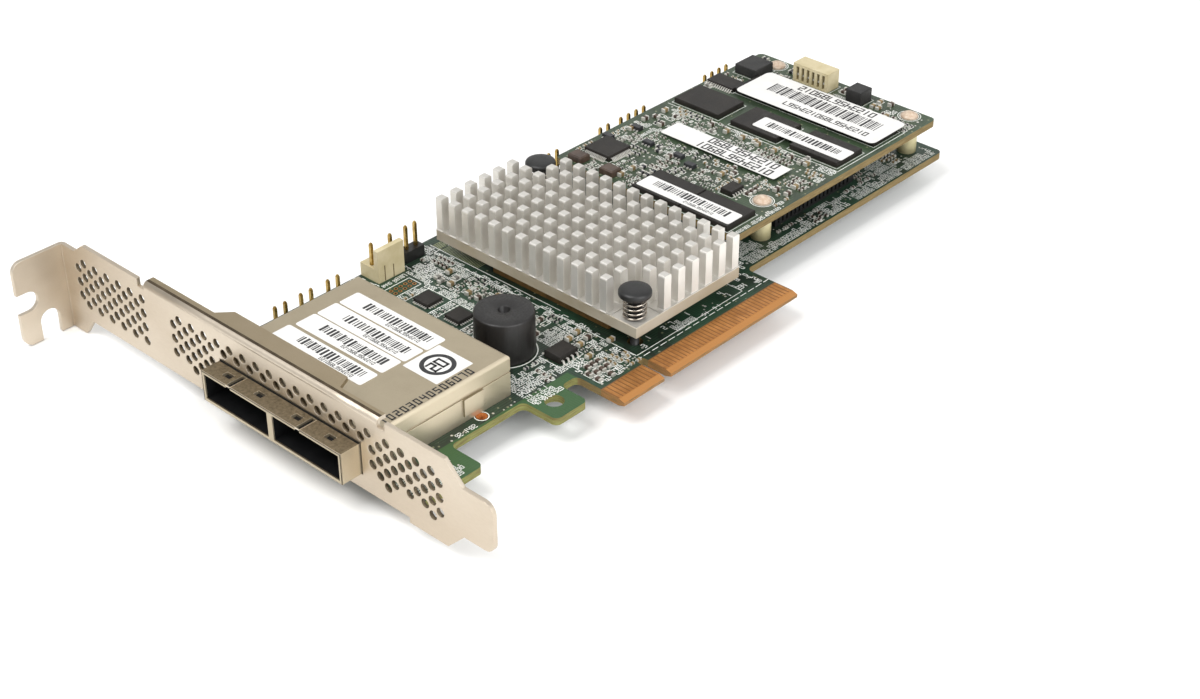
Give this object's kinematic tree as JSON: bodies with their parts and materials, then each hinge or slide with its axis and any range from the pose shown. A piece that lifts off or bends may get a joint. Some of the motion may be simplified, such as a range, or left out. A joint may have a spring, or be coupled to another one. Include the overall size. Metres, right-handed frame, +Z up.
{
  "type": "raid controller card",
  "caption": "Plug-in disk controller card: printed board with edge connector, slotted end bracket, shielded twin cable port, pin-fin heat sink, buzzer and raised memory board.",
  "frame": {"origin": "under the middle of the card's bounding box, lying flat with the component side up", "axes": "+X along the card away from the end bracket, +Y across the card from the edge contacts to the rear edge, +Z up from the component side"},
  "size_m": [0.1792, 0.12, 0.0213],
  "materials": {
    "solder_mask": "satin",
    "gold": "satin",
    "bracket_steel": "satin",
    "screw_steel": "satin",
    "cage_nickel": "satin",
    "black_plastic": "satin",
    "cream_plastic": "satin",
    "chip_substrate": "satin",
    "lid_nickel": "satin",
    "thermal_pad": "matt",
    "heatsink_aluminium": "satin",
    "spring_steel": "polished",
    "buzzer_black": "satin",
    "tin": "polished",
    "chip_resin": "matt",
    "nylon": "satin",
    "ferrite": "matt",
    "ceramic_tan": "satin"
  },
  "bodies": {
    "root": {"backup_power_connector": "cream_plastic", "backup_power_pins": "tin", "boot_memory": "chip_resin", "bracket_screws": "screw_steel", "bus_switch": "chip_resin", "buzzer": "buzzer_black", "edge_contacts": "gold", "fan_header": "cream_plastic", "fan_header_pins": "tin", "flash_controller": "chip_resin", "heatsink": "heatsink_aluminium", "io_bracket": "bracket_steel", "jumper_header": "black_plastic", "jumper_header_pins": "gold", "led_headers_pins": "gold", "logic_gate": "chip_resin", "main_board": "solder_mask", "main_board_capacitors": "ceramic_tan", "memory_board": "solder_mask", "memory_board_capacitors": "ceramic_tan", "memory_chip_1": "chip_resin", "memory_chip_2": "chip_resin", "memory_chip_3": "chip_resin", "memory_chip_4": "chip_resin", "memory_chip_5": "chip_resin", "memory_chip_6": "chip_resin", "memory_chip_7": "chip_resin", "memory_chip_8": "chip_resin", "mezzanine_plug": "black_plastic", "mezzanine_socket": "black_plastic", "power_inductor_1": "ferrite", "power_inductor_2": "ferrite", "processor_lid": "lid_nickel", "processor_substrate": "chip_substrate", "push_pin_springs": "spring_steel", "push_pins": "black_plastic", "rear_headers": "black_plastic", "rear_headers_pins": "gold", "sas_cage": "cage_nickel", "sas_contacts": "gold", "sas_housing_1": "black_plastic", "sas_housing_2": "black_plastic", "standoffs": "nylon", "thermal_pad": "thermal_pad", "voltage_regulator_1": "chip_resin", "voltage_regulator_2": "chip_resin"}
  },
  "joints": []
}
